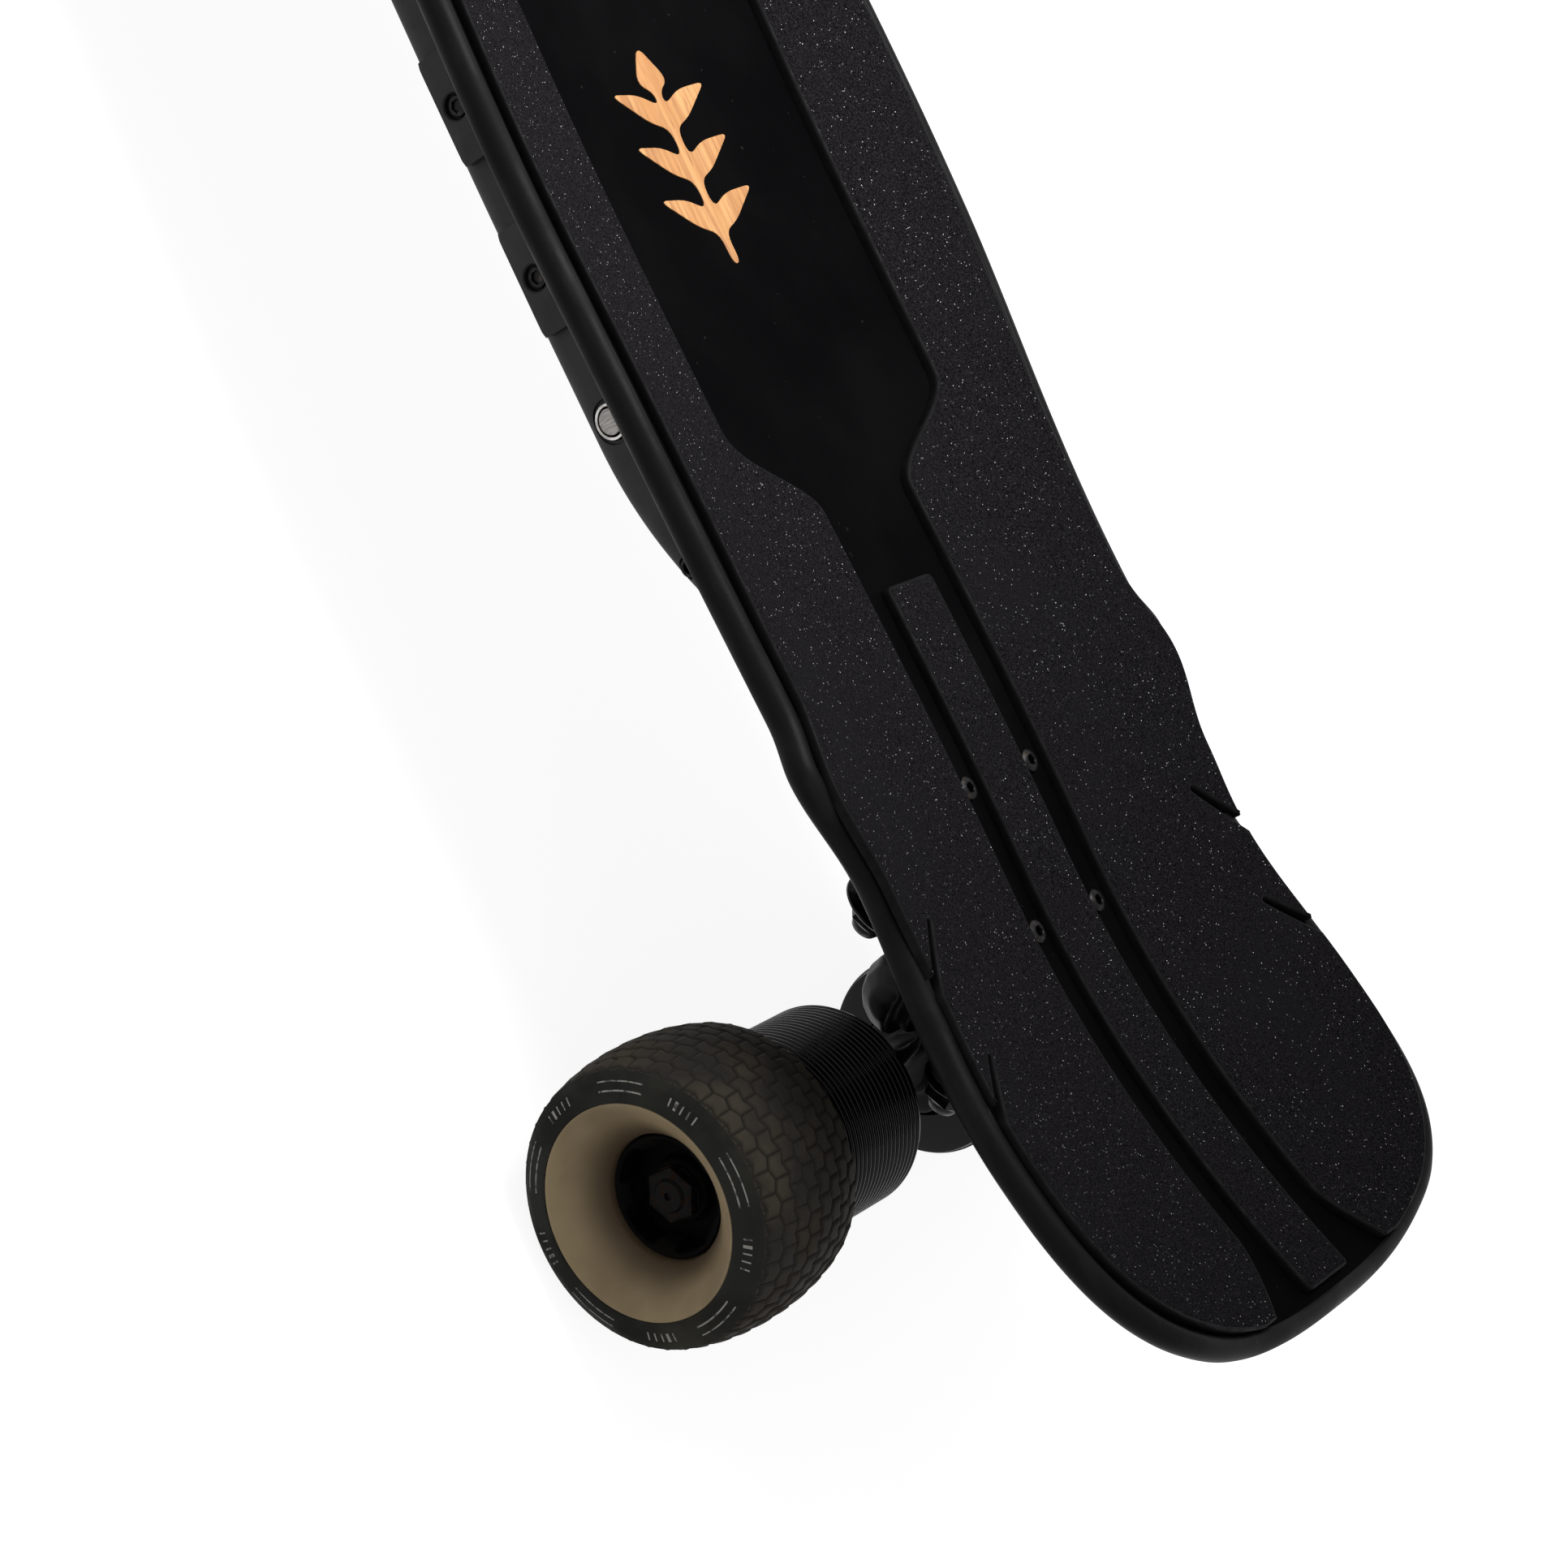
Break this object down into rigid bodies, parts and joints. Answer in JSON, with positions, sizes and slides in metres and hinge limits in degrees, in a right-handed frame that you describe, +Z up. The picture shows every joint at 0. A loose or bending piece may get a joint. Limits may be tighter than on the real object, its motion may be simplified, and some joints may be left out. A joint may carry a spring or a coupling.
{
  "type": "electric skateboard",
  "caption": "Long black skateboard with kicked ends, sparkling grip pads, a slim battery box, sprung double-pivot trucks, finned hub drive at the rear and large treaded wheels.",
  "frame": {"origin": "on the ground, under the middle of the deck, midway between the trucks", "axes": "+X to the nose, +Y to the board's left side (the side of the power button), +Z up"},
  "size_m": [0.906, 0.296, 0.1957],
  "materials": {
    "deck": "matte black lacquer over laminated wood",
    "grip": "coarse sparkling grit",
    "inlay": "natural bamboo grain under clear lacquer",
    "shell": "fine-grained matte black",
    "hardware": "bright plated",
    "black_hardware": "black oxide, a little worn",
    "truck_black": "black anodised, satin",
    "bushing": "moulded black urethane",
    "tyre": "dusty block tread",
    "core": "satin beige",
    "winding": "laminated iron with copper windings",
    "cells": "shrink-wrapped cells",
    "circuit": "circuit board on a finned plate"
  },
  "bodies": {
    "board": {"deck": "deck", "grip_pad_left": "grip", "grip_pad_right": "grip", "grip_strip_tail": "grip", "grip_strip_nose": "grip", "inlay": "inlay", "enclosure": "shell", "clamp_rear_left": "shell", "clamp_screw_rear_left": "black_hardware", "clamp_rear_right": "shell", "clamp_screw_rear_right": "black_hardware", "clamp_front_left": "shell", "clamp_screw_front_left": "black_hardware", "clamp_front_right": "shell", "clamp_screw_front_right": "black_hardware", "button_bezel": "hardware", "charge_port": "black_hardware", "battery_pack": "cells", "motor_controller": "circuit", "rear_baseplate": "truck_black", "rear_lead_kingpin": "black_hardware", "rear_lead_bushing_upper": "bushing", "rear_lead_bushing_lower": "bushing", "front_baseplate": "truck_black", "front_lead_kingpin": "black_hardware", "front_lead_bushing_upper": "bushing", "front_lead_bushing_lower": "bushing", "deck_bolt_rear_1": "black_hardware", "deck_bolt_rear_2": "black_hardware", "deck_bolt_rear_3": "black_hardware", "deck_bolt_rear_4": "black_hardware", "deck_bolt_front_1": "black_hardware", "deck_bolt_front_2": "black_hardware", "deck_bolt_front_3": "black_hardware", "deck_bolt_front_4": "black_hardware", "cable_gland_left": "bushing", "cable_gland_right": "bushing"},
    "rear_carrier": {"rear_carrier": "truck_black", "rear_trail_kingpin": "black_hardware", "rear_trail_bushing_upper": "bushing", "rear_trail_bushing_lower": "bushing"},
    "rear_hanger": {"rear_hanger": "truck_black", "rear_left_motor_stator": "winding", "rear_right_motor_stator": "winding"},
    "rear_left_wheel": {"rear_left_tyre": "tyre", "rear_left_core": "core", "rear_left_motor_can": "truck_black"},
    "rear_right_wheel": {"rear_right_tyre": "tyre", "rear_right_core": "core", "rear_right_motor_can": "truck_black"},
    "front_carrier": {"front_carrier": "truck_black", "front_trail_kingpin": "black_hardware", "front_trail_bushing_upper": "bushing", "front_trail_bushing_lower": "bushing"},
    "front_hanger": {"front_hanger": "truck_black"},
    "front_left_wheel": {"front_left_tyre": "tyre", "front_left_core": "core"},
    "front_right_wheel": {"front_right_tyre": "tyre", "front_right_core": "core"},
    "button": {"power_button": "hardware"}
  },
  "joints": [
    {"name": "rear_lead_pivot", "type": "hinge", "parent": "board", "child": "rear_carrier", "pos_m": [-0.26, 0, 0.1035], "axis": [-0.9397, 0, 0.342], "range_deg": [-12, 12], "stiffness_Nm_per_rad": 40, "deforming": ["rear_lead_bushing_upper", "rear_lead_bushing_lower"]},
    {"name": "rear_trail_pivot", "type": "hinge", "parent": "rear_carrier", "child": "rear_hanger", "pos_m": [-0.324, 0, 0.0985], "axis": [-0.848, 0, 0.5299], "range_deg": [-12, 12], "stiffness_Nm_per_rad": 40, "deforming": ["rear_trail_bushing_upper", "rear_trail_bushing_lower"]},
    {"name": "rear_left_wheel_spin", "type": "hinge", "parent": "rear_hanger", "child": "rear_left_wheel", "pos_m": [-0.322, 0.118, 0.0525], "axis": [0, 1, 0], "continuous": true},
    {"name": "rear_right_wheel_spin", "type": "hinge", "parent": "rear_hanger", "child": "rear_right_wheel", "pos_m": [-0.322, -0.118, 0.0525], "axis": [0, 1, 0], "continuous": true},
    {"name": "front_lead_pivot", "type": "hinge", "parent": "board", "child": "front_carrier", "pos_m": [0.26, 0, 0.1035], "axis": [0.9397, 0, 0.342], "range_deg": [-12, 12], "stiffness_Nm_per_rad": 40, "deforming": ["front_lead_bushing_upper", "front_lead_bushing_lower"]},
    {"name": "front_trail_pivot", "type": "hinge", "parent": "front_carrier", "child": "front_hanger", "pos_m": [0.324, 0, 0.0985], "axis": [0.848, 0, 0.5299], "range_deg": [-12, 12], "stiffness_Nm_per_rad": 40, "deforming": ["front_trail_bushing_upper", "front_trail_bushing_lower"]},
    {"name": "front_left_wheel_spin", "type": "hinge", "parent": "front_hanger", "child": "front_left_wheel", "pos_m": [0.322, 0.118, 0.0525], "axis": [0, 1, 0], "continuous": true},
    {"name": "front_right_wheel_spin", "type": "hinge", "parent": "front_hanger", "child": "front_right_wheel", "pos_m": [0.322, -0.118, 0.0525], "axis": [0, 1, 0], "continuous": true},
    {"name": "power_button_press", "type": "slide", "parent": "board", "child": "button", "axis": [0, -1, 0], "range_m": [0, 0.0015], "stiffness_N_per_m": 300, "springref_m": -0.001}
  ]
}
